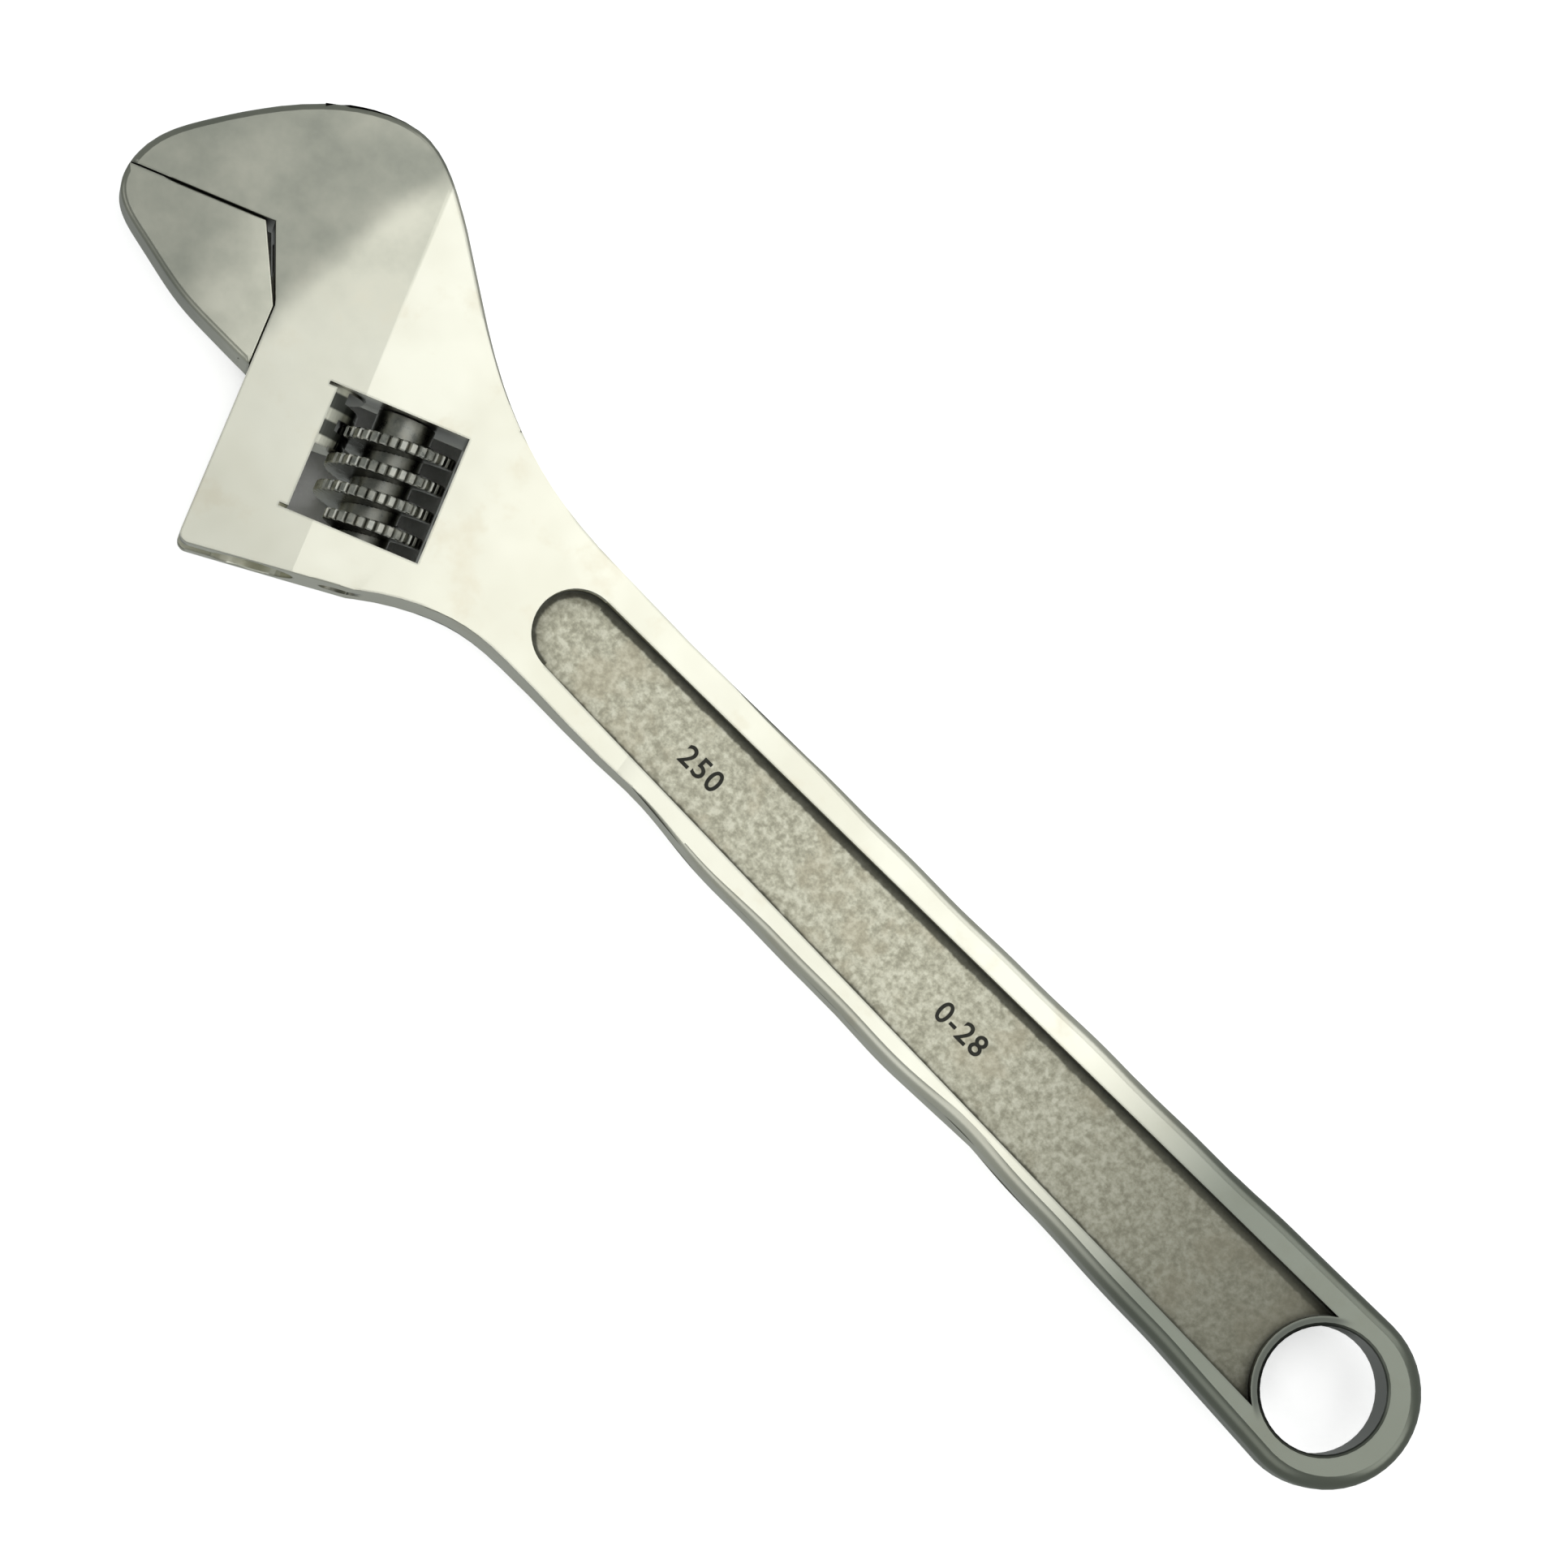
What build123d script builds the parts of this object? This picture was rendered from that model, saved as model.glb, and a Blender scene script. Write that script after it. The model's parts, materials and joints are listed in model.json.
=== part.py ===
"""Ten-inch adjustable wrench: a body forging, a sliding jaw, its adjusting screw, screw pin and spring.

Frame: millimetres. The origin is the centre of the hanging hole at mid thickness, +X runs along the
handle to the head, +Y is the side that the sliding jaw opens to, and +Z is normal to the faces.
The jaws are closed. Across the head, sizes are given in the jaw axes: "slide" runs along the sliding
jaw's travel, positive as it opens, and "reach" runs square to that, out towards the jaw tips.
"""

import os
from math import cos, pi, radians, sin, tan

from build123d import *

# Handle
HANDLE_HALF_THICKNESS = 5.0
END_CENTRE = (-1.0, -0.2)
END_RADIUS = 13.4
HOLE_RADIUS = 9.0
HOLE_LIP = 1.4
HOLE_EDGE_BREAK = 0.5
RECESS_DEPTH = 2.4
RECESS_START = 2.0
RECESS_END = 154.9
RECESS_HALF_WIDTH_AT_HOLE = 8.8
RECESS_HALF_WIDTH_AT_HEAD = 6.3

# Head
HEAD_HALF_THICKNESS = 7.8
SWELL_START = 128.0
SWELL_END = 174.0
JAW_ANGLE = 22.5
FACET_REACH = 177.0
FACET_SLOPE = 2.6
HEAD_EDGE_REACH = 193.4
JAW_FACE_SLIDE = -93.5
JAW_TIP_REACH = 219.6
HEAD_FOOT_SLIDE = -47.2
HEAD_FOOT_ROUND = 1.5
LOWER_NECK = (168.6, -50.2)
THROAT_REACH = 197.9
THROAT_SLIDE = -82.6

# Window for the adjusting screw
WINDOW_REACH = (161.4, 181.0)
WINDOW_SLIDE = (-75.9, -57.1)
OVERCUT_LENGTH = 1.3
OVERCUT_WIDTH = 0.5
OVERCUT_DEPTH = 2.0

# Rail of the sliding jaw and the channel that it runs in
RAIL_REACH = 182.8
RAIL_RADIUS = 6.2
RAIL_SLIDE = (-92.0, -67.3)
RAIL_CLEARANCE = 0.08
CHANNEL_TOP_SLIDE = -92.8
NECK_HALF_THICKNESS = 3.0
NECK_SLIDE = (-90.5, -74.2)
NECK_CLEARANCE = 0.1
NECK_SLOT_TOP_SLIDE = -91.5

# Sliding jaw blade
BLADE_GAP = 0.1
BLADE_TOP_INSET = 0.3
JAW_FACE_GAP = 0.25
BLADE_HEEL_SLIDE = -73.6
BLADE_CORNER_REACH = 199.1

# Adjusting screw: single start, right-hand
SCREW_REACH = 170.2
THREAD_PITCH = 4.0
THREAD_RADIUS = 8.5
CORE_RADIUS = 4.25
CREST_WIDTH = 1.3
ROOT_WIDTH = 2.2
THREAD_SLIDE = (-73.9, -58.7)
THREAD_ON_TOP_SLIDE = -71.4
SCREW_END_GAP = 0.1
RACK_CLEARANCE = 0.15
RACK_ROOT_GAP = 0.4
SPRING_POCKET_RADIUS = 3.1
SPRING_POCKET_DEPTH = 4.0

# Screw pin and spring
PIN_RADIUS = 2.0
PIN_RUNNING_CLEARANCE = 0.05
PIN_TOP_SLIDE = -82.0
PIN_THREAD_RADIUS = 2.6
PIN_THREAD_LENGTH = 6.4
PIN_FOOT_SLIDE = -50.6
PIN_SLOT_WIDTH = 0.8
PIN_SLOT_DEPTH = 1.2
SPRING_COIL_RADIUS = 2.6
SPRING_WIRE_RADIUS = 0.25
SPRING_TURNS = 3.0
SPRING_END_GAP = 0.03

# Longer than any cut needs to be.
FAR = 60.0


def at(reach, slide, height=0.0):
    """The point at a reach, slide and height, in the part's own frame."""
    a = radians(JAW_ANGLE)
    return Vector(reach * cos(a) - slide * sin(a), reach * sin(a) + slide * cos(a), height)


REACH_WAY = at(1, 0)
SLIDE_WAY = at(0, 1)


def across(slide):
    """A plane square to the travel at a slide: its x is reach, its y is height, its z points to -slide."""
    return Plane(origin=at(0, slide), x_dir=REACH_WAY, z_dir=-SLIDE_WAY)


# The head seen from above, with x as reach and y as slide.
JAW_PLANE = Plane(origin=(0, 0, 0), x_dir=REACH_WAY, z_dir=(0, 0, 1))

throat = at(THROAT_REACH, JAW_FACE_SLIDE)
throat_foot = at(HEAD_EDGE_REACH, THROAT_SLIDE)
fixed_tip = at(JAW_TIP_REACH, JAW_FACE_SLIDE)
head_foot = at(HEAD_EDGE_REACH, HEAD_FOOT_SLIDE)
lower_neck = at(*LOWER_NECK)

# Body: handle, head and fixed jaw in one forging.
with BuildPart() as body:
    with BuildSketch(Plane.XY.offset(-HEAD_HALF_THICKNESS)):
        with BuildLine():
            end_top = (END_CENTRE[0], END_CENTRE[1] + END_RADIUS)
            end_low = (END_CENTRE[0], END_CENTRE[1] - END_RADIUS)
            ThreePointArc(end_top, (END_CENTRE[0] - END_RADIUS, END_CENTRE[1]), end_low)
            Spline(
                end_low,
                (50, -12.3),
                (100, -11.4),
                (148, -10.6),
                (165, -11.8),
                (180, -17.0),
                (195, -26.2),
                (204, -31.6),
                (211.5, -34.0),
                (220, -31.5),
                (230, -22.2),
                (235.7, -13.6),
                (238.8, -5.8),
                (fixed_tip.X, fixed_tip.Y),
                tangents=((1, 0.02), (-0.25, 1)),
            )
            Polyline(
                (fixed_tip.X, fixed_tip.Y),
                (throat.X, throat.Y),
                (throat_foot.X, throat_foot.Y),
                (head_foot.X, head_foot.Y),
                (lower_neck.X, lower_neck.Y),
            )
            Spline(
                (lower_neck.X, lower_neck.Y),
                (167, 12.9),
                (160, 10.3),
                (150, 9.6),
                (100, 10.7),
                (50, 11.1),
                (25, 11.9),
                end_top,
            )
        make_face()
    extrude(amount=2 * HEAD_HALF_THICKNESS)
    # The head edge's foot is blunt.
    foot_edge = body.edges().filter_by(Axis.Z).sort_by_distance((head_foot.X, head_foot.Y, 0))[0]
    fillet(foot_edge, HEAD_FOOT_ROUND)
    # Side profile: a thin handle that swells into the head.
    with BuildSketch(Plane.XZ):
        with BuildLine():
            Line((-FAR, HANDLE_HALF_THICKNESS), (SWELL_START, HANDLE_HALF_THICKNESS))
            Spline(
                (SWELL_START, HANDLE_HALF_THICKNESS),
                (SWELL_END, HEAD_HALF_THICKNESS),
                tangents=((1, 0), (1, 0)),
            )
            Polyline((SWELL_END, HEAD_HALF_THICKNESS), (SWELL_END, FAR), (-FAR, FAR))
            Line((-FAR, FAR), (-FAR, HANDLE_HALF_THICKNESS))
        make_face()
        mirror(about=Plane.XZ)
    extrude(amount=2 * FAR, both=True, mode=Mode.SUBTRACT)
    # Both faces of the jaw end slope together towards the tips.
    with BuildSketch(across(0)):
        drop = FAR * tan(radians(FACET_SLOPE))
        with BuildLine():
            Polyline(
                (FACET_REACH, HEAD_HALF_THICKNESS),
                (FACET_REACH + FAR, HEAD_HALF_THICKNESS - drop),
                (FACET_REACH + FAR, FAR),
                (FACET_REACH, FAR),
                close=True,
            )
        make_face()
        mirror(about=Plane.XZ)
    extrude(amount=3 * FAR, both=True, mode=Mode.SUBTRACT)

    # Hanging hole, and the recess in each face, which stops at a raised lip around the hole.
    for side in (1, -1):
        with BuildSketch(Plane.XY.offset(side * (HANDLE_HALF_THICKNESS - RECESS_DEPTH))):
            with BuildLine():
                end_middle = RECESS_END - RECESS_HALF_WIDTH_AT_HEAD
                Polyline(
                    (end_middle, RECESS_HALF_WIDTH_AT_HEAD),
                    (RECESS_START, RECESS_HALF_WIDTH_AT_HOLE),
                    (RECESS_START, -RECESS_HALF_WIDTH_AT_HOLE),
                    (end_middle, -RECESS_HALF_WIDTH_AT_HEAD),
                )
                ThreePointArc(
                    (end_middle, -RECESS_HALF_WIDTH_AT_HEAD),
                    (RECESS_END, 0),
                    (end_middle, RECESS_HALF_WIDTH_AT_HEAD),
                )
            make_face()
            Circle(HOLE_RADIUS + HOLE_LIP, mode=Mode.SUBTRACT)
        extrude(amount=side * FAR, mode=Mode.SUBTRACT)
    Hole(HOLE_RADIUS)
    round_edges = body.edges().filter_by(GeomType.CIRCLE)
    chamfer(round_edges.filter_by(lambda e: abs(e.radius - HOLE_RADIUS) < 0.01), HOLE_EDGE_BREAK)

    # Window for the adjusting screw, with the saw's small overcuts at the corners nearest the jaws.
    window_middle = (sum(WINDOW_REACH) / 2, sum(WINDOW_SLIDE) / 2)
    window_size = (WINDOW_REACH[1] - WINDOW_REACH[0], WINDOW_SLIDE[1] - WINDOW_SLIDE[0])
    with BuildSketch(JAW_PLANE):
        with Locations(window_middle):
            Rectangle(*window_size)
    extrude(amount=FAR, both=True, mode=Mode.SUBTRACT)
    for side in (1, -1):
        with BuildSketch(JAW_PLANE.offset(side * (HEAD_HALF_THICKNESS - OVERCUT_DEPTH))):
            for slide, inward in zip(WINDOW_SLIDE, (1, -1)):
                with Locations((WINDOW_REACH[1], slide + inward * OVERCUT_WIDTH / 2)):
                    Rectangle(2 * OVERCUT_LENGTH, OVERCUT_WIDTH)
        extrude(amount=side * FAR, mode=Mode.SUBTRACT)

    # Round channel for the rail, open to the head edge through the neck slot.
    with BuildSketch(across(CHANNEL_TOP_SLIDE)):
        with Locations((RAIL_REACH, 0)):
            Circle(RAIL_RADIUS + RAIL_CLEARANCE)
    extrude(amount=-FAR, mode=Mode.SUBTRACT)
    with BuildSketch(across(NECK_SLOT_TOP_SLIDE)):
        with Locations(((RAIL_REACH + THROAT_REACH) / 2, 0)):
            Rectangle(THROAT_REACH - RAIL_REACH + 2, 2 * (NECK_HALF_THICKNESS + NECK_CLEARANCE))
    extrude(amount=-FAR, mode=Mode.SUBTRACT)

    # Bore for the screw pin: blind above the window, wider where the pin screws in below it.
    with BuildSketch(across(PIN_TOP_SLIDE)):
        with Locations((SCREW_REACH, 0)):
            Circle(PIN_RADIUS)
    extrude(amount=-FAR, mode=Mode.SUBTRACT)
    with BuildSketch(across(PIN_FOOT_SLIDE - PIN_THREAD_LENGTH)):
        with Locations((SCREW_REACH, 0)):
            Circle(PIN_THREAD_RADIUS)
    extrude(amount=-FAR, mode=Mode.SUBTRACT)

body.part.label = "body"

# Sliding jaw: blade, neck and rail.
blade_heel = at(HEAD_EDGE_REACH + BLADE_GAP, BLADE_HEEL_SLIDE)
blade_foot = at(HEAD_EDGE_REACH + BLADE_GAP, THROAT_SLIDE + BLADE_GAP)
blade_corner = at(BLADE_CORNER_REACH, JAW_FACE_SLIDE + JAW_FACE_GAP)
blade_tip = at(JAW_TIP_REACH, JAW_FACE_SLIDE + JAW_FACE_GAP)
with BuildPart() as movable_jaw:
    with BuildSketch(Plane.XY.offset(-HEAD_HALF_THICKNESS)):
        with BuildLine():
            Spline(
                (blade_heel.X, blade_heel.Y),
                (213, 6.1),
                (220, 5.9),
                (230, 4.0),
                (237.2, 1.0),
                (blade_tip.X, blade_tip.Y),
                tangents=((1, 0.05), (0.15, -1)),
            )
            Polyline(
                (blade_tip.X, blade_tip.Y),
                (blade_corner.X, blade_corner.Y),
                (blade_foot.X, blade_foot.Y),
                (blade_heel.X, blade_heel.Y),
            )
        make_face()
    extrude(amount=2 * HEAD_HALF_THICKNESS)
    # Its faces slope with the fixed jaw's, a little below them.
    with BuildSketch(across(0)):
        blade_top = HEAD_HALF_THICKNESS - BLADE_TOP_INSET
        with BuildLine():
            Polyline(
                (FACET_REACH, blade_top),
                (FACET_REACH + FAR, blade_top - FAR * tan(radians(FACET_SLOPE))),
                (FACET_REACH + FAR, FAR),
                (FACET_REACH, FAR),
                close=True,
            )
        make_face()
        mirror(about=Plane.XZ)
    extrude(amount=3 * FAR, both=True, mode=Mode.SUBTRACT)
    with BuildSketch(across(NECK_SLIDE[0])):
        with Locations(((RAIL_REACH + HEAD_EDGE_REACH + 2) / 2, 0)):
            Rectangle(HEAD_EDGE_REACH + 2 - RAIL_REACH, 2 * NECK_HALF_THICKNESS)
    extrude(amount=NECK_SLIDE[0] - NECK_SLIDE[1])
    with BuildSketch(across(RAIL_SLIDE[0])):
        with Locations((RAIL_REACH, 0)):
            Circle(RAIL_RADIUS)
    extrude(amount=RAIL_SLIDE[0] - RAIL_SLIDE[1])
    # Rack grooves, as wide as the screw's thread and leaning with its helix.
    groove_root = SCREW_REACH + THREAD_RADIUS + RACK_ROOT_GAP
    groove_mouth = RAIL_REACH - RAIL_RADIUS - 1
    flank = (ROOT_WIDTH - CREST_WIDTH) / 2 / (THREAD_RADIUS - CORE_RADIUS)
    root_half = CREST_WIDTH / 2 + RACK_CLEARANCE
    mouth_half = root_half + flank * (groove_root - groove_mouth)
    helix_lean = THREAD_PITCH / (2 * pi * THREAD_RADIUS)
    lean_way = Vector(0, 0, 1) - SLIDE_WAY * helix_lean
    # A quarter turn on from the top of the screw, its ridges stand a quarter pitch further along.
    first_groove = THREAD_ON_TOP_SLIDE + THREAD_PITCH / 4 - 6 * THREAD_PITCH
    for tooth in range(8):
        groove = at(0, first_groove + tooth * THREAD_PITCH)
        with BuildSketch(Plane(origin=groove, x_dir=REACH_WAY, z_dir=lean_way)):
            with BuildLine():
                Polyline(
                    (groove_mouth, mouth_half),
                    (groove_root, root_half),
                    (groove_root, -root_half),
                    (groove_mouth, -mouth_half),
                    close=True,
                )
            make_face()
        extrude(amount=2 * RAIL_RADIUS, both=True, mode=Mode.SUBTRACT)
movable_jaw.part.label = "movable_jaw"

# Adjusting screw: a core with one right-hand ridge, a running bore and a pocket for the spring.
screw_low = WINDOW_SLIDE[0] + SCREW_END_GAP
screw_high = WINDOW_SLIDE[1] - SCREW_END_GAP
screw_length = screw_high - screw_low
# The screw's own plane: z runs along +slide from its end nearest the fixed jaw, and x is the reach.
SCREW_PLANE = Plane(origin=at(SCREW_REACH, screw_low), x_dir=REACH_WAY, z_dir=SLIDE_WAY)
thread_start = THREAD_SLIDE[0] - screw_low
thread_length = THREAD_SLIDE[1] - THREAD_SLIDE[0]
with BuildPart() as thread_ridge:
    with BuildLine():
        path = Helix(THREAD_PITCH, thread_length, CORE_RADIUS, center=(0, 0, thread_start))
    with BuildSketch(Plane(origin=path @ 0, x_dir=(1, 0, 0), z_dir=path % 0)):
        with BuildLine():
            Polyline(
                (-0.4, ROOT_WIDTH / 2),
                (THREAD_RADIUS - CORE_RADIUS, CREST_WIDTH / 2),
                (THREAD_RADIUS - CORE_RADIUS, -CREST_WIDTH / 2),
                (-0.4, -ROOT_WIDTH / 2),
                close=True,
            )
        make_face()
    sweep(path=path, is_frenet=True)
# The start is turned so that the ridge crosses the top of the screw where it should.
turns_to_top = (THREAD_ON_TOP_SLIDE - THREAD_SLIDE[0]) / THREAD_PITCH
start_angle = 270 - 360 * turns_to_top
with BuildPart() as worm:
    with BuildSketch(SCREW_PLANE):
        Circle(CORE_RADIUS)
    extrude(amount=screw_length)
    add(SCREW_PLANE.location * (Rotation(0, 0, start_angle) * thread_ridge.part))
    with BuildSketch(SCREW_PLANE):
        Circle(PIN_RADIUS + PIN_RUNNING_CLEARANCE)
    extrude(amount=screw_length, mode=Mode.SUBTRACT)
    with BuildSketch(SCREW_PLANE):
        Circle(SPRING_POCKET_RADIUS)
    extrude(amount=SPRING_POCKET_DEPTH, mode=Mode.SUBTRACT)
worm.part.label = "worm"

# Pin that the adjusting screw turns on, put in from below and slotted for a driver.
with BuildPart() as worm_pin:
    with BuildSketch(across(PIN_TOP_SLIDE)):
        with Locations((SCREW_REACH, 0)):
            Circle(PIN_RADIUS)
    extrude(amount=PIN_TOP_SLIDE - PIN_FOOT_SLIDE)
    with BuildSketch(across(PIN_FOOT_SLIDE - PIN_THREAD_LENGTH)):
        with Locations((SCREW_REACH, 0)):
            Circle(PIN_THREAD_RADIUS)
    extrude(amount=-PIN_THREAD_LENGTH)
    with BuildSketch(across(PIN_FOOT_SLIDE)):
        with Locations((SCREW_REACH, 0)):
            Rectangle(4 * PIN_THREAD_RADIUS, PIN_SLOT_WIDTH)
    extrude(amount=PIN_SLOT_DEPTH, mode=Mode.SUBTRACT)
worm_pin.part.label = "worm_pin"

# Compression spring in the screw's pocket, round the pin, which takes up its play.
spring_length = SPRING_POCKET_DEPTH + SCREW_END_GAP - 2 * (SPRING_WIRE_RADIUS + SPRING_END_GAP)
with BuildPart() as spring_coil:
    with BuildLine():
        coil = Helix(spring_length / SPRING_TURNS, spring_length, SPRING_COIL_RADIUS)
    with BuildSketch(Plane(origin=coil @ 0, z_dir=coil % 0)):
        Circle(SPRING_WIRE_RADIUS)
    sweep(path=coil, is_frenet=True)
spring_foot = at(SCREW_REACH, WINDOW_SLIDE[0] + SPRING_WIRE_RADIUS + SPRING_END_GAP)
spring_plane = Plane(origin=spring_foot, x_dir=REACH_WAY, z_dir=SLIDE_WAY)
with BuildPart() as worm_spring:
    add(spring_plane.location * spring_coil.part)
worm_spring.part.label = "worm_spring"

os.makedirs("parts", exist_ok=True)
export_step(body.part, "parts/body.step")
export_step(movable_jaw.part, "parts/movable_jaw.step")
export_step(worm.part, "parts/worm.step")
export_step(worm_pin.part, "parts/worm_pin.step")
export_step(worm_spring.part, "parts/worm_spring.step")
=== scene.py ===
"""Adjustable wrench: the looks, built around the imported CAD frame. Everything is in metres."""
import json
from math import ceil, pi, radians

import bmesh
import bpy
import numpy as np
from mathutils import Matrix, Vector


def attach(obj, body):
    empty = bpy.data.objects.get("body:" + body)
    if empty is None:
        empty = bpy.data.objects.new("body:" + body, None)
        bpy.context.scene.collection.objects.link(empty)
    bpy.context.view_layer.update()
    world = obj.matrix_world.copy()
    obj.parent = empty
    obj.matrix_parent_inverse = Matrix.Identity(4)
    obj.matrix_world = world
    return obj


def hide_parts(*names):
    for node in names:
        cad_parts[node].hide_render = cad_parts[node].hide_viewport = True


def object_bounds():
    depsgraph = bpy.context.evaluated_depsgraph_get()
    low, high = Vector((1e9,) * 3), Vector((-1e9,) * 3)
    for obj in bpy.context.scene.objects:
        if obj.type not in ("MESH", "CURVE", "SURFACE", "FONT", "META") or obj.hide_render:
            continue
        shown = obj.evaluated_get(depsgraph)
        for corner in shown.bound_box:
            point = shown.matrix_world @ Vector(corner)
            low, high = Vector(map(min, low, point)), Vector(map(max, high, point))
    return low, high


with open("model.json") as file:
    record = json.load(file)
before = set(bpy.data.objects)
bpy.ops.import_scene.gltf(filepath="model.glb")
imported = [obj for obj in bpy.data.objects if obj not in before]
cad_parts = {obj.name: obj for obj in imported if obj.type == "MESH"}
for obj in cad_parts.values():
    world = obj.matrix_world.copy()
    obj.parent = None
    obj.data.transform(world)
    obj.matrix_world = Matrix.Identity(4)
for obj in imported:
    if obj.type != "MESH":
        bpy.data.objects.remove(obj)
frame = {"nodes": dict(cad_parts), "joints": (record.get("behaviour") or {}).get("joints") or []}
cad_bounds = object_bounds()

MM = 0.001

# The head's own axes: "slide" runs along the sliding jaw's travel, "reach" out towards the jaw tips.
SLIDE_WAY = Vector(frame["joints"][1]["axis"])
REACH_WAY = Vector((SLIDE_WAY.y, -SLIDE_WAY.x, 0.0))
FACET_REACH = 177.0
FACET_TILT = 0.0454
SWELL_START = 128.0
SWELL_END = 174.0
SWELL_RISE = 2.8
HANDLE_TOP = 5.0
RAIL_REACH = 182.8
RAIL_PLAY = 0.12
RECESS_FLOOR = 2.6
THROAT_REACH = 192.9
TIP_REACH = 213
TIP_SLIDE = -93.9
BLADE_FACE_SLIDE = -92.9
WINDOW_REACH = (160, 182.6)
WINDOW_SLIDE = (-76.5, -56.5)

# Rounding of the rims. A rim is a corner between a ground face and a side wall.
FLAT_WITHIN = 0.003
LONGEST_STEP = 1.6
WIDEST_ROUNDING = 2.6
SLIGHT_ROUNDING = 0.3
BACK_ROUNDING = 0.8
SHARP_ANGLE = 33
LEAST_RIM_HEIGHT = 4


# ---------------------------------------------------------------- mesh helpers

def coordinates(mesh):
    """The mesh's vertices in millimetres, one row each."""
    flat = np.empty(len(mesh.vertices) * 3)
    mesh.vertices.foreach_get("co", flat)
    return flat.reshape(-1, 3) / MM


def set_coordinates(mesh, points):
    mesh.vertices.foreach_set("co", (points * MM).astype(np.float32).ravel())
    mesh.update()


def step(low, high, value):
    """0 below low, 1 above high, and a smooth rise between them."""
    t = np.clip((value - low) / (high - low), 0, 1)
    return t * t * (3 - 2 * t)


def applied(obj):
    """The mesh that an object's modifiers make of it."""
    graph = bpy.context.evaluated_depsgraph_get()
    return bpy.data.meshes.new_from_object(obj.evaluated_get(graph), depsgraph=graph)


def new_piece(name, mesh, body, slot, *nodes):
    """A visible piece that rides on a body and stands for the CAD nodes it replaces."""
    obj = bpy.data.objects.new(name, mesh)
    bpy.context.scene.collection.objects.link(obj)
    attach(obj, body)
    if nodes:
        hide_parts(*nodes)
    return obj


def outline_edges(build, wanted):
    """The edges between a ground face and a side wall whose middle, in millimetres, is wanted."""
    found = []
    for edge in build.edges:
        if len(edge.link_faces) != 2:
            continue
        upright, level = sorted(edge.link_faces, key=lambda face: abs(face.normal.z))
        if abs(upright.normal.z) > 0.3 or abs(level.normal.z) < 0.9:
            continue
        middle = (edge.verts[0].co + edge.verts[1].co) / 2 / MM
        if wanted(middle):
            found.append(edge)
    return found


def rounded(node, wanted, radius_at):
    """A CAD node's mesh with its wanted edges rounded, by a radius in millimetres at each place."""
    build = bmesh.new()
    build.from_mesh(frame["nodes"][node].data)
    bmesh.ops.remove_doubles(build, verts=build.verts, dist=1e-6)
    bmesh.ops.dissolve_limit(build, angle_limit=FLAT_WITHIN, verts=build.verts, edges=build.edges)
    for edge in outline_edges(build, wanted):
        parts = ceil(edge.calc_length() / MM / LONGEST_STEP)
        start = edge.verts[0]
        for left in range(parts, 1, -1):
            edge, start = bmesh.utils.edge_split(edge, start, 1 / left)
            edge = next(e for e in start.link_edges if e is not edge and outline_part(e, edge))
    weight = build.edges.layers.float.new("bevel_weight_edge")
    for edge in outline_edges(build, wanted):
        middle = (edge.verts[0].co + edge.verts[1].co) / 2 / MM
        edge[weight] = min(1.0, radius_at(middle) / WIDEST_ROUNDING)
    mesh = bpy.data.meshes.new(node + "_rounded")
    build.to_mesh(mesh)
    build.free()
    work = bpy.data.objects.new("work", mesh)
    bpy.context.scene.collection.objects.link(work)
    bevel = work.modifiers.new("bevel", "BEVEL")
    bevel.limit_method = "WEIGHT"
    bevel.width = WIDEST_ROUNDING * MM
    bevel.segments = 6
    bevel.use_clamp_overlap = False
    bevel.loop_slide = False
    out = applied(work)
    bpy.data.objects.remove(work)
    return out


def outline_part(candidate, neighbour):
    """Whether an edge goes on in line with its neighbour."""
    a = (candidate.verts[1].co - candidate.verts[0].co).normalized()
    b = (neighbour.verts[1].co - neighbour.verts[0].co).normalized()
    return abs(a.dot(b)) > 0.99999


def shade(mesh, crease_reach=None):
    """Smooth shading that keeps flat faces flat, with sharp edges and the ground crease kept."""
    for polygon in mesh.polygons:
        polygon.use_smooth = True
    mesh.set_sharp_from_angle(angle=radians(SHARP_ANGLE))
    if crease_reach:
        sharp = mesh.attributes["sharp_edge"]
        for edge in mesh.edges:
            ends = [REACH_WAY.dot(mesh.vertices[v].co) / MM for v in edge.vertices]
            if max(abs(end - crease_reach) for end in ends) < 0.02:
                sharp.data[edge.index].value = True
    work = bpy.data.objects.new("work", mesh)
    bpy.context.scene.collection.objects.link(work)
    weighted = work.modifiers.new("weighted", "WEIGHTED_NORMAL")
    weighted.keep_sharp = True
    weighted.weight = 80
    out = applied(work)
    bpy.data.objects.remove(work)
    if crease_reach:
        face_normals(out)
    return out


def ground_height(point):
    """The height of the ground faces over a point, in millimetres."""
    t = min(1.0, max(0.0, (point.x / MM - SWELL_START) / (SWELL_END - SWELL_START)))
    swell = HANDLE_TOP + SWELL_RISE * t * t * (3 - 2 * t)
    return swell - FACET_TILT * max(0.0, REACH_WAY.dot(point) / MM - FACET_REACH)


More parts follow.
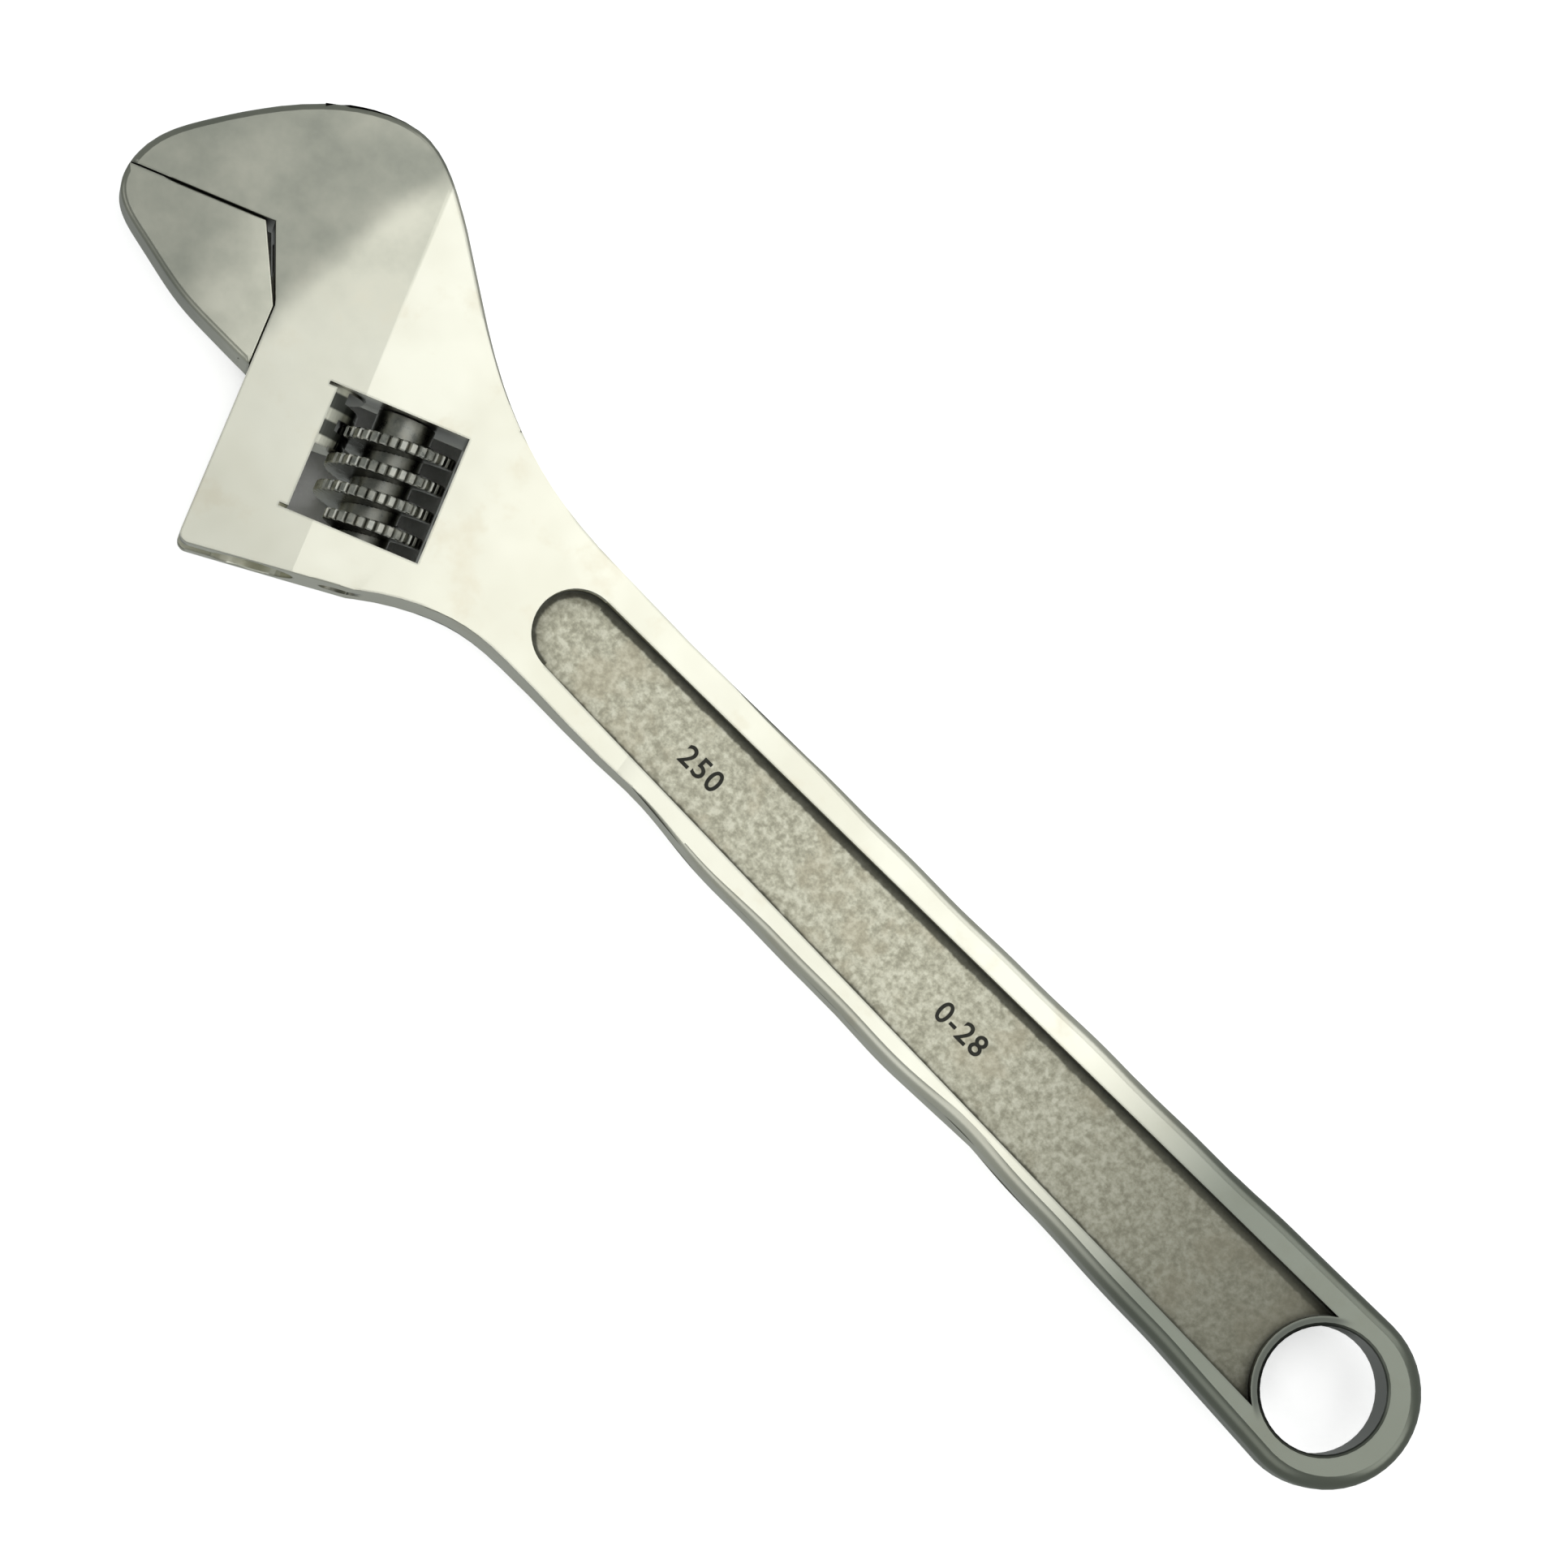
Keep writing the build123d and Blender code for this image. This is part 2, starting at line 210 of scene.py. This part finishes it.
def face_normals(mesh):
    """Gives the ground faces the exact normals of the swell and the facet."""
    chosen = [Vector(corner.vector) for corner in mesh.corner_normals]
    for polygon in mesh.polygons:
        corners = [mesh.vertices[v].co for v in polygon.vertices]
        if max(abs(abs(corner.z) / MM - ground_height(corner)) for corner in corners) > 0.12:
            continue
        if len({corner.z > 0 for corner in corners}) > 1:
            continue
        up = 1 if corners[0].z > 0 else -1
        on_facet = REACH_WAY.dot(polygon.center) / MM > FACET_REACH
        for loop in polygon.loop_indices:
            along_handle = mesh.vertices[mesh.loops[loop].vertex_index].co.x / MM
            t = min(1.0, max(0.0, (along_handle - SWELL_START) / (SWELL_END - SWELL_START)))
            slope = SWELL_RISE * 6 * t * (1 - t) / (SWELL_END - SWELL_START)
            lean = REACH_WAY * FACET_TILT if on_facet else Vector((-slope, 0, 0))
            chosen[loop] = Vector((lean.x, lean.y, up)).normalized()
    mesh.normals_split_custom_set(chosen)


# ---------------------------------------------------------------- body and sliding jaw

def outer_edge(middle):
    """Whether a point on the body's edge belongs to its outline, outside every opening."""
    x, y = middle.x, middle.y
    if abs(middle.z) < LEAST_RIM_HEIGHT or np.hypot(x, y) < 11:
        return False
    if 0 < x < 156 and abs(y) < 9.2:
        return False
    if SWELL_START - 0.5 < x < SWELL_END + 0.5:
        return False
    reach = middle.dot(REACH_WAY)
    slide = middle.dot(SLIDE_WAY)
    across_window = WINDOW_REACH[0] < reach < WINDOW_REACH[1]
    in_window = across_window and WINDOW_SLIDE[0] < slide < WINDOW_SLIDE[1]
    beside_jaw = reach > THROAT_REACH and slide > -82.9
    near_tip = reach > TIP_REACH and slide > TIP_SLIDE
    return not (in_window or beside_jaw or near_tip)


def outer_radius(middle):
    """The body's rims are round at the hole and tighter towards the head."""
    reach = middle.dot(REACH_WAY)
    slide = middle.dot(SLIDE_WAY)
    in_throat = reach > THROAT_REACH and slide > TIP_SLIDE
    over_rail = reach > 173 and slide > -64
    if in_throat or over_rail:
        return SLIGHT_ROUNDING
    along_x = (20, 60, 100, 127, 175, 190, 205, 225)
    radii = (2.6, 2.2, 1.8, 0.3, 0.3, 0.9, 1.0, 1.3)
    return float(np.interp(middle.x, along_x, radii))


def ground_waves(x, side):
    """How far the hand-ground handle edge stands in or out along its length, in millimetres."""
    low = -0.55 * np.exp(-((x - 62) / 8) ** 2) - 0.55 * np.exp(-((x - 127) / 9) ** 2)
    low += 0.3 * np.exp(-((x - 78) / 8) ** 2) + 0.25 * np.exp(-((x - 112) / 8) ** 2)
    low += 0.12 * np.sin(x / 4.1) * np.sin(x / 17)
    high = 0.08 * np.sin(x / 7.3) + 0.06 * np.sin(x / 2.9 + 1)
    return np.where(side > 0, low, high)


def body_mesh():
    mesh = rounded("body", outer_edge, outer_radius)
    points = coordinates(mesh)
    x = points[:, 0]
    y = points[:, 1]
    side = np.sign(y)
    at_edge = step(8.9, 9.4, np.abs(y)) * step(8, 24, x) * (1 - step(140, 158, x))
    points[:, 1] += ground_waves(x, side) * at_edge * side
    set_coordinates(mesh, points)
    return shade(mesh, FACET_REACH)


def jaw_back(middle):
    """Whether a point on the sliding jaw's edge is behind its face and out of its neck."""
    off_face = abs(middle.z) > LEAST_RIM_HEIGHT and middle.dot(SLIDE_WAY) > BLADE_FACE_SLIDE
    return off_face and middle.dot(REACH_WAY) > 194.2


def back_of_blade(middle):
    """Whether a point on the sliding jaw's edge is on its curved back."""
    straight_foot = middle.dot(REACH_WAY) < 199.3 and middle.dot(SLIDE_WAY) < -80.0
    return jaw_back(middle) and not straight_foot and middle.y > -2.2


def blade_edge(middle):
    """Whether a point on the sliding jaw's edge is one to round: all of the blade but its tip."""
    near_tip = middle.dot(REACH_WAY) > TIP_REACH and middle.dot(SLIDE_WAY) < BLADE_FACE_SLIDE
    return abs(middle.z) > LEAST_RIM_HEIGHT and middle.dot(REACH_WAY) > 193.3 and not near_tip


def blade_radius(middle):
    return BACK_ROUNDING if back_of_blade(middle) else SLIGHT_ROUNDING


def jaw_mesh():
    """The sliding jaw, with its hidden rail a hair slimmer so that it never scrapes its channel."""
    mesh = rounded("movable_jaw", blade_edge, blade_radius)
    points = coordinates(mesh)
    reach = points @ np.array(REACH_WAY)
    from_rail = np.hypot(reach - RAIL_REACH, points[:, 2])
    slimmer = np.where((reach < RAIL_REACH + 6.3) & (from_rail > 4.5), 1 - RAIL_PLAY / from_rail, 1.0)
    shift = (reach - RAIL_REACH) * (slimmer - 1)
    points = points + shift[:, None] * np.array(REACH_WAY)
    points[:, 2] *= slimmer
    set_coordinates(mesh, points)
    return shade(mesh)


# ---------------------------------------------------------------- adjusting screw

SCREW_REACH = 170.2
SCREW_ENDS = (-75.8, -57.2)
PITCH = 4.0
THREAD_RADIUS = 8.5
CORE_RADIUS = 4.25
BORE_RADIUS = 2.05
THREAD_SPAN = (-73.9, -58.7)
RIDGE_ON_TOP = -71.4
KNURLS = 36
RACK_TOOTH = -71.8


def screw_radius(angle, slide):
    """The screw's radius at an angle round it and a slide along it, both as arrays."""
    ridge = RIDGE_ON_TOP + PITCH * (angle - 1.5 * pi) / (2 * pi)
    turn = np.round((slide - ridge) / PITCH)
    middle = ridge + turn * PITCH
    away = np.abs(slide - middle)
    full = step(THREAD_SPAN[0] - 0.1, THREAD_SPAN[0] + 0.25, middle)
    full = full * (1 - step(THREAD_SPAN[1] - 0.25, THREAD_SPAN[1] + 0.1, middle))
    crest, foot = 0.75, 1.12
    rise = 1 - np.clip((away - crest) / (foot - crest), 0, 1)
    rise = np.minimum(rise * 1.15, 1.0)
    height = (THREAD_RADIUS - CORE_RADIUS) * rise * full
    # Knurling: flat-topped teeth across the crest with narrow rounded grooves between them.
    phase = np.abs(((angle * KNURLS / (2 * pi)) % 1.0) - 0.5) * 2
    groove = step(0.62, 0.92, phase)
    cut = 0.5 * groove * step(0.8, 0.98, height / (THREAD_RADIUS - CORE_RADIUS))
    edge_break = 0.12 * step(0.55, 0.77, away) * (rise > 0.9)
    return CORE_RADIUS + height - cut - edge_break * full


def screw_mesh():
    around = KNURLS * 8
    rows = 187
    angles = np.linspace(0, 2 * pi, around, endpoint=False)
    slides = np.linspace(SCREW_ENDS[0], SCREW_ENDS[1], rows)
    angle, slide = np.meshgrid(angles, slides)
    radius = screw_radius(angle, slide)
    radius[0] = CORE_RADIUS - 0.3
    radius[-1] = CORE_RADIUS - 0.3
    bore = np.full((2, around), BORE_RADIUS)
    angle = np.vstack((angle, angle[:2]))
    ends = [np.full((1, around), end) for end in reversed(SCREW_ENDS)]
    slide = np.vstack((slide, *ends))
    radius = np.vstack((radius, bore))
    reach = SCREW_REACH + radius * np.cos(angle)
    height = -radius * np.sin(angle)
    x = reach * REACH_WAY.x + slide * SLIDE_WAY.x
    y = reach * REACH_WAY.y + slide * SLIDE_WAY.y
    points = np.stack((x, y, height), -1).reshape(-1, 3) * MM
    rings = rows + 2
    faces = []
    for i in range(rings):
        low = i * around
        high = ((i + 1) % rings) * around
        for j in range(around):
            k = (j + 1) % around
            faces.append((low + j, low + k, high + k, high + j))
    mesh = bpy.data.meshes.new("adjusting_screw")
    mesh.from_pydata(points.tolist(), [], faces)
    build = bmesh.new()
    build.from_mesh(mesh)
    bmesh.ops.recalc_face_normals(build, faces=build.faces)
    build.to_mesh(mesh)
    build.free()
    return mesh


# ---------------------------------------------------------------- size marks

def mark(name, text, middle, size):
    """Figures stamped in the recess floor, read from the -X end with their tops to -Y."""
    curve = bpy.data.curves.new(name, "FONT")
    curve.body = text
    curve.size = size * MM
    curve.space_character = 1.12
    curve.offset = 0.05 * MM
    curve.extrude = 0.06 * MM
    curve.align_x = "CENTER"
    curve.align_y = "CENTER"
    work = bpy.data.objects.new(name + "_text", curve)
    bpy.context.scene.collection.objects.link(work)
    bpy.context.view_layer.update()
    mesh = applied(work)
    bpy.data.objects.remove(work)
    turn = Matrix.Rotation(pi, 4, "Z")
    seat = Vector((middle[0], middle[1], RECESS_FLOOR + 0.02)) * MM
    mesh.transform(Matrix.Translation(seat) @ turn)
    piece = new_piece(name, mesh, "wrench_body", "forging")
    for polygon in mesh.polygons:
        polygon.use_smooth = False
    return piece


# ---------------------------------------------------------------- materials

# Squared distances from the hanging hole's axis between which its painted shade fades.
HOLE_WALL_SQUARED = (0.0000835, 0.0000860)
HOLE_LIP_SQUARED = (0.000100, 0.000112)
# Painted shade on the outside corners.
EDGE_SHADE_COLOUR = (0.16, 0.17, 0.15)
# Painted shade for the rack gaps and the hanging hole.
PAINTED_SHADE_COLOUR = (0.05, 0.055, 0.05)


def material(name, colour, roughness, metallic=1.0):
    made = bpy.data.materials.new(name)
    made.use_nodes = True
    shader = made.node_tree.nodes["Principled BSDF"]
    shader.inputs["Base Color"].default_value = (*colour, 1)
    shader.inputs["Roughness"].default_value = roughness
    shader.inputs["Metallic"].default_value = metallic
    return made, made.node_tree, shader


def node(tree, kind, **values):
    made = tree.nodes.new(kind)
    for key, value in values.items():
        if key.startswith("in_"):
            made.inputs[key[3:].replace("_", " ")].default_value = value
        else:
            setattr(made, key, value)
    return made


def place(tree):
    """Object coordinates, in metres."""
    return node(tree, "ShaderNodeTexCoord").outputs["Object"]


def grain(tree, vector, scale, detail=4.0, stretch=None):
    """A noise value at a scale per metre, stretched along the axes if asked."""
    if stretch:
        scaled = node(tree, "ShaderNodeMapping")
        scaled.inputs["Scale"].default_value = stretch
        tree.links.new(vector, scaled.inputs["Vector"])
        vector = scaled.outputs["Vector"]
    made = node(tree, "ShaderNodeTexNoise", in_Scale=scale, in_Detail=detail, in_Roughness=0.6)
    tree.links.new(vector, made.inputs["Vector"])
    return made.outputs["Fac"]


def ramp(tree, value, *stops):
    made = tree.nodes.new("ShaderNodeValToRGB")
    elements = made.color_ramp.elements
    while len(elements) < len(stops):
        elements.new(0.5)
    for element, (position, colour) in zip(elements, stops):
        element.position = position
        element.color = (*colour, 1)
    tree.links.new(value, made.inputs["Fac"])
    return made.outputs["Color"]


def spread(tree, value, low, high, to_low=0.0, to_high=1.0):
    made = node(tree, "ShaderNodeMapRange", interpolation_type="SMOOTHSTEP")
    for key, number in (("From Min", low), ("From Max", high), ("To Min", to_low), ("To Max", to_high)):
        made.inputs[key].default_value = number
    tree.links.new(value, made.inputs["Value"])
    return made.outputs["Result"]


def mix(tree, factor, first, second, blend="MIX"):
    made = node(tree, "ShaderNodeMix", data_type="RGBA", blend_type=blend)
    for value, key in ((factor, 0), (first, 6), (second, 7)):
        if isinstance(value, (int, float)):
            made.inputs[key].default_value = value
        elif isinstance(value, tuple):
            made.inputs[key].default_value = (*value, 1)
        else:
            tree.links.new(value, made.inputs[key])
    return made.outputs[2]


def maths(tree, operation, first, second=None):
    made = node(tree, "ShaderNodeMath", operation=operation)
    for index, value in enumerate((first, second)):
        if value is None:
            continue
        if isinstance(value, (int, float)):
            made.inputs[index].default_value = value
        else:
            tree.links.new(value, made.inputs[index])
    return made.outputs[0]


def along(tree, vector, way):
    made = node(tree, "ShaderNodeVectorMath", operation="DOT_PRODUCT")
    made.inputs[1].default_value = way
    tree.links.new(vector, made.inputs[0])
    return made.outputs["Value"]


def bump(tree, shader, height, strength, distance):
    made = node(tree, "ShaderNodeBump", in_Strength=strength, in_Distance=distance)
    tree.links.new(height, made.inputs["Height"])
    tree.links.new(made.outputs["Normal"], shader.inputs["Normal"])


def painted_hollow_shade(tree):
    """Painted shade: white in the open, dark where the surface lies in a hollow, from an occlusion mask."""
    open_sky = node(tree, "ShaderNodeAmbientOcclusion", samples=8)
    open_sky.inputs["Distance"].default_value = 0.006
    return ramp(tree, open_sky.outputs["AO"], (0.2, (0.12, 0.12, 0.11)), (0.75, (1.0, 1.0, 1.0)))


def painted_edge_shade(tree):
    """Painted shade: above 0 close to an outside corner, where the ground edges turn dark."""
    turned = node(tree, "ShaderNodeBevel", samples=4)
    turned.inputs["Radius"].default_value = 0.7 * MM
    flat = node(tree, "ShaderNodeNewGeometry").outputs["True Normal"]
    level = node(tree, "ShaderNodeVectorMath", operation="DOT_PRODUCT")
    tree.links.new(turned.outputs["Normal"], level.inputs[0])
    tree.links.new(flat, level.inputs[1])
    return spread(tree, level.outputs["Value"], 0.80, 0.97, 0.65, 0.0)


def recess_corner_shade(tree, split):
    """Painted shade: 1 in the rounded corner between the recess floor and its wall, wider on the -Y side.
    """
    x, y = split.outputs["X"], split.outputs["Y"]
    beside = maths(tree, "ABSOLUTE", maths(tree, "SUBTRACT", y, 0.35 * MM))
    half_width = maths(tree, "SUBTRACT", 8.83 * MM, maths(tree, "MULTIPLY", x, 0.01635))
    straight = maths(tree, "SUBTRACT", half_width, beside)
    past_end = maths(tree, "SUBTRACT", x, 148.6 * MM)
    across = maths(tree, "POWER", past_end, 2.0)
    from_end = maths(tree, "SQRT", maths(tree, "ADD", across, maths(tree, "MULTIPLY", y, y)))
    round_end = maths(tree, "SUBTRACT", 6.3 * MM, from_end)
    at_end = maths(tree, "GREATER_THAN", past_end, 0.0)
    chosen = mix(tree, at_end, straight, round_end)
    wobble = maths(tree, "MULTIPLY", maths(tree, "SUBTRACT", grain(tree, place(tree), 500, 3), 0.5), 0.0006)
    inset = maths(tree, "ADD", chosen, wobble)
    return spread(tree, inset, 0.75 * MM, 1.15 * MM, 0.85, 0.0)


def ground_metal(name, whole_facet=False):
    """Ground titanium: ivory on the handle side, with painted shade on the jaw facet, blasted in the
    recess.
    """
    made, tree, shader = material(name, (0.8, 0.79, 0.68), 0.3)
    at = place(tree)
    broad = grain(tree, at, 45, 3)
    patch = grain(tree, at, 110, 4)
    bright = ramp(tree, broad, (0.35, (0.79, 0.775, 0.655)), (0.62, (0.88, 0.87, 0.755)))
    stains = spread(tree, patch, 0.52, 0.70, 0.0, 0.45)
    bright = mix(tree, stains, bright, (0.72, 0.66, 0.51))
    facet_painted_shade = ramp(tree, patch, (0.35, (0.63, 0.63, 0.53)), (0.65, (0.77, 0.76, 0.645)))
    deep_painted_shade = ramp(tree, patch, (0.32, (0.33, 0.34, 0.29)), (0.68, (0.46, 0.46, 0.39)))
    reach = along(tree, at, tuple(REACH_WAY))
    slide = along(tree, at, tuple(SLIDE_WAY))
    wobble = maths(tree, "MULTIPLY", maths(tree, "SUBTRACT", broad, 0.5), 0.012)
    split = node(tree, "ShaderNodeSeparateXYZ")
    tree.links.new(at, split.inputs[0])
    if whole_facet:
        # The sliding jaw's facet carries the same painted shade, deeper towards its tip.
        lighter = spread(tree, maths(tree, "ADD", reach, wobble), 0.193, 0.207, 0.9, 0.0)
        colour = mix(tree, lighter, deep_painted_shade, facet_painted_shade)
        # Painted shade keeps the gaps between the rack teeth dark.
        turns = maths(tree, "DIVIDE", maths(tree, "SUBTRACT", slide, RACK_TOOTH * MM), PITCH * MM)
        from_tooth = maths(tree, "ABSOLUTE", maths(tree, "SUBTRACT", turns, maths(tree, "ROUND", turns)))
        gap = spread(tree, from_tooth, 0.17, 0.26, 0.0, 0.93)
        on_rack = spread(tree, reach, 0.1825, 0.1835, 1.0, 0.0)
        colour = mix(tree, maths(tree, "MULTIPLY", gap, on_rack), colour, PAINTED_SHADE_COLOUR)
        rough = 0.3
    else:
        # Painted shade darkens the jaw facet past the grinding crease between it and the handle side; the
        # step fades out at the window.
        crease = spread(tree, reach, (FACET_REACH - 0.2) * MM, (FACET_REACH + 0.2) * MM)
        fade = spread(tree, slide, -0.100, -0.078, 1.0, 0.3)
        fade = maths(tree, "MULTIPLY", fade, spread(tree, slide, -0.076, -0.060, 1.0, 0.25))
        colour = mix(tree, maths(tree, "MULTIPLY", crease, fade), bright, facet_painted_shade)
        # Deeper painted shade towards the jaw side of the facet.
        leaning = maths(tree, "SUBTRACT", reach, maths(tree, "MULTIPLY", slide, 0.55))
        clouded = maths(tree, "ADD", leaning, wobble)
        jaw_side = maths(tree, "MULTIPLY", spread(tree, clouded, 0.2350, 0.2410), crease)
        colour = mix(tree, jaw_side, colour, deep_painted_shade)
        # The recess floor keeps the forging's blasted skin, darker towards the hole.
        height = maths(tree, "ABSOLUTE", split.outputs["Z"])
        low = spread(tree, height, 0.0029, 0.0040, 1.0, 0.0)
        inside = spread(tree, maths(tree, "ABSOLUTE", split.outputs["Y"]), 0.0086, 0.0092, 1.0, 0.0)
        before = spread(tree, split.outputs["X"], 0.1545, 0.1565, 1.0, 0.0)
        after = spread(tree, split.outputs["X"], 0.000, 0.004)
        inside = maths(tree, "MULTIPLY", inside, after)
        recess = maths(tree, "MULTIPLY", low, maths(tree, "MULTIPLY", inside, before))
        mottle = grain(tree, at, 1000, 6)
        dark, middle, light = (0.46, 0.44, 0.34), (0.65, 0.63, 0.50), (0.84, 0.82, 0.68)
        skin = ramp(tree, mottle, (0.36, dark), (0.5, middle), (0.64, light))
        tan_patch = spread(tree, grain(tree, at, 130, 3), 0.5, 0.65, 0.0, 0.35)
        skin = mix(tree, tan_patch, skin, (0.62, 0.55, 0.40))
        # Painted shade in the corner at the foot of the recess wall.
        skin = mix(tree, recess_corner_shade(tree, split), skin, (0.10, 0.10, 0.08))
        toned = spread(tree, split.outputs["X"], 0.008, 0.085, 0.75, 0.0)
        skin = mix(tree, toned, skin, (0.13, 0.13, 0.10))
        # The rims are greyer round the hanging hole.
        at_hole = spread(tree, split.outputs["X"], 0.026, 0.060, 0.88, 0.0)
        colour = mix(tree, at_hole, colour, (0.15, 0.17, 0.14))
        colour = mix(tree, recess, colour, skin)
        rough = mix(tree, recess, (0.3, 0.3, 0.3), (0.5, 0.5, 0.5))
        # Painted shade darkens the wall of the hanging hole; a darker ring follows its lip on the recess
        # side.
        across = maths(tree, "MULTIPLY", split.outputs["X"], split.outputs["X"])
        beside = maths(tree, "MULTIPLY", split.outputs["Y"], split.outputs["Y"])
        from_hole = maths(tree, "ADD", across, beside)
        bore = spread(tree, from_hole, *HOLE_WALL_SQUARED, 0.85, 0.0)
        colour = mix(tree, bore, colour, PAINTED_SHADE_COLOUR)
        lip = spread(tree, from_hole, *HOLE_LIP_SQUARED, 0.7, 0.0)
        lip = maths(tree, "MULTIPLY", lip, spread(tree, split.outputs["X"], 0.003, 0.006))
        colour = mix(tree, lip, colour, (0.06, 0.065, 0.06))
    # Painted shade darkens the hollows of the body and jaw.
    colour = mix(tree, 1.0, colour, painted_hollow_shade(tree), "MULTIPLY")
    # Painted shade darkens the outside corners.
    colour = mix(tree, painted_edge_shade(tree), colour, EDGE_SHADE_COLOUR)
    tree.links.new(colour, shader.inputs["Base Color"])
    if whole_facet:
        shader.inputs["Roughness"].default_value = rough
    else:
        tree.links.new(rough, shader.inputs["Roughness"])
    waves = grain(tree, at, 60, 1)
    if not whole_facet:
        forged = maths(tree, "MULTIPLY", mottle, maths(tree, "MULTIPLY", recess, 0.4))
        waves = maths(tree, "ADD", waves, forged)
    bump(tree, shader, waves, 0.25, 0.0003)
    return made


def screw_metal():
    made, tree, shader = material("screw_metal", (0.25, 0.26, 0.25), 0.34)
    at = place(tree)
    spots = grain(tree, at, 700, 6)
    colour = ramp(tree, spots, (0.3, (0.26, 0.27, 0.25)), (0.7, (0.58, 0.57, 0.50)))
    # Painted shade darkens the screw in its hollows.
    colour = mix(tree, 0.75, colour, painted_hollow_shade(tree), "MULTIPLY")
    tree.links.new(colour, shader.inputs["Base Color"])
    tree.links.new(spread(tree, spots, 0.3, 0.7, 0.25, 0.42), shader.inputs["Roughness"])
    bump(tree, shader, spots, 0.2, 0.00004)
    return made


def plain_metal(name, colour, roughness):
    made, tree, shader = material(name, colour, roughness)
    spots = grain(tree, place(tree), 1200, 5)
    dark = tuple(c * 0.7 for c in colour)
    tree.links.new(ramp(tree, spots, (0.3, dark), (0.7, colour)), shader.inputs["Base Color"])
    bump(tree, shader, spots, 0.15, 0.00003)
    return made


def floor_paper():
    """White paper that glows evenly in the open; an occlusion mask turns the glow off under the tool, which
    paints shade there.
    """
    made, tree, shader = material("floor_paper", (0.9, 0.9, 0.9), 0.9, 0.0)
    shader.inputs["Emission Color"].default_value = (1, 1, 1, 1)
    open_sky = node(tree, "ShaderNodeAmbientOcclusion", samples=12)
    open_sky.inputs["Distance"].default_value = 0.06
    glow = spread(tree, open_sky.outputs["AO"], 0.12, 0.34, 0.0, 0.75)
    tree.links.new(glow, shader.inputs["Emission Strength"])
    return made


# ---------------------------------------------------------------- pieces

def dress(obj, made):
    obj.data.materials.clear()
    obj.data.materials.append(made)


body = new_piece("forged_body", body_mesh(), "wrench_body", "forging", "body")
dress(body, ground_metal("ground_forging"))
jaw = new_piece("sliding_jaw_blade", jaw_mesh(), "sliding_jaw", "jaw", "movable_jaw")
dress(jaw, ground_metal("ground_jaw", whole_facet=True))
screw = new_piece("knurled_screw", screw_mesh(), "adjusting_screw", "screw", "worm")
dress(screw, screw_metal())
dress(frame["nodes"]["worm_pin"], plain_metal("pin_metal", (0.5, 0.5, 0.46), 0.3))
dress(frame["nodes"]["worm_spring"], plain_metal("spring_metal", (0.55, 0.55, 0.55), 0.25))

stamp = plain_metal("stamp_shadow", (0.07, 0.07, 0.06), 0.6)
dress(mark("size_mark", "250", (122.9, 0.6), 4.4), stamp)
dress(mark("range_mark", "0-28", (71.5, 0.4), 4.4), stamp)


# ---------------------------------------------------------------- stage, light and camera

def floor(low):
    mesh = bpy.data.meshes.new("floor")
    half = 1.5
    corners = [(-half, -half, low), (half, -half, low), (half, half, low), (-half, half, low)]
    mesh.from_pydata(corners, [], [(0, 1, 2, 3)])
    made = bpy.data.objects.new("floor", mesh)
    bpy.context.scene.collection.objects.link(made)
    dress(made, floor_paper())
    made.visible_glossy = False


def softbox(name, place_at, size, power, target=(0.113, -0.007, 0)):
    light = bpy.data.lights.new(name, "AREA")
    light.shape = "RECTANGLE"
    light.size, light.size_y = size
    light.energy = power
    made = bpy.data.objects.new(name, light)
    made.location = place_at
    made.rotation_euler = (Vector(target) - Vector(place_at)).to_track_quat("-Z", "Y").to_euler()
    bpy.context.scene.collection.objects.link(made)


VIEW_TARGET = Vector((113.2, -6.6, 0)) * MM
VIEW_WIDTH = 219.5 * MM
EYE_DISTANCE = 1100 * MM
EYE_LEAN = Vector((0.035, 0.117, 1)).normalized()
IMAGE_UP = Vector((1, -1, 0))


def camera():
    lens = bpy.data.cameras.new("camera")
    lens.sensor_width = 36
    lens.lens = 36 * EYE_DISTANCE / VIEW_WIDTH
    lens.clip_end = 10
    made = bpy.data.objects.new("camera", lens)
    back = EYE_LEAN
    right = IMAGE_UP.cross(back).normalized()
    up = back.cross(right)
    made.matrix_world = Matrix.Translation(VIEW_TARGET + back * EYE_DISTANCE) @ Matrix(
        (
            (right.x, up.x, back.x, 0),
            (right.y, up.y, back.y, 0),
            (right.z, up.z, back.z, 0),
            (0, 0, 0, 1),
        )
    )
    bpy.context.scene.collection.objects.link(made)
    bpy.context.scene.camera = made


floor(cad_bounds[0][2] - 0.2 * MM)
softbox("overhead", (0.03, -0.30, 0.9), (0.8, 0.7), 1.95)
softbox("handle_side", (-0.7, -0.1, 0.5), (0.5, 0.6), 0.9)
softbox("far_side", (0.05, -0.95, 0.55), (0.8, 0.6), 1.1)
softbox("near_side", (0.0, 0.85, 0.5), (0.9, 0.6), 0.75)
softbox("jaw_side", (0.7, 0.5, 0.35), (0.4, 0.4), 0.25)
world = bpy.data.worlds.new("studio")
bpy.context.scene.world = world
world.use_nodes = True
world.node_tree.nodes["Background"].inputs["Color"].default_value = (0.95, 1.0, 0.97, 1)
world.node_tree.nodes["Background"].inputs["Strength"].default_value = 0.32
bpy.context.scene.view_settings.view_transform = "Standard"
camera()
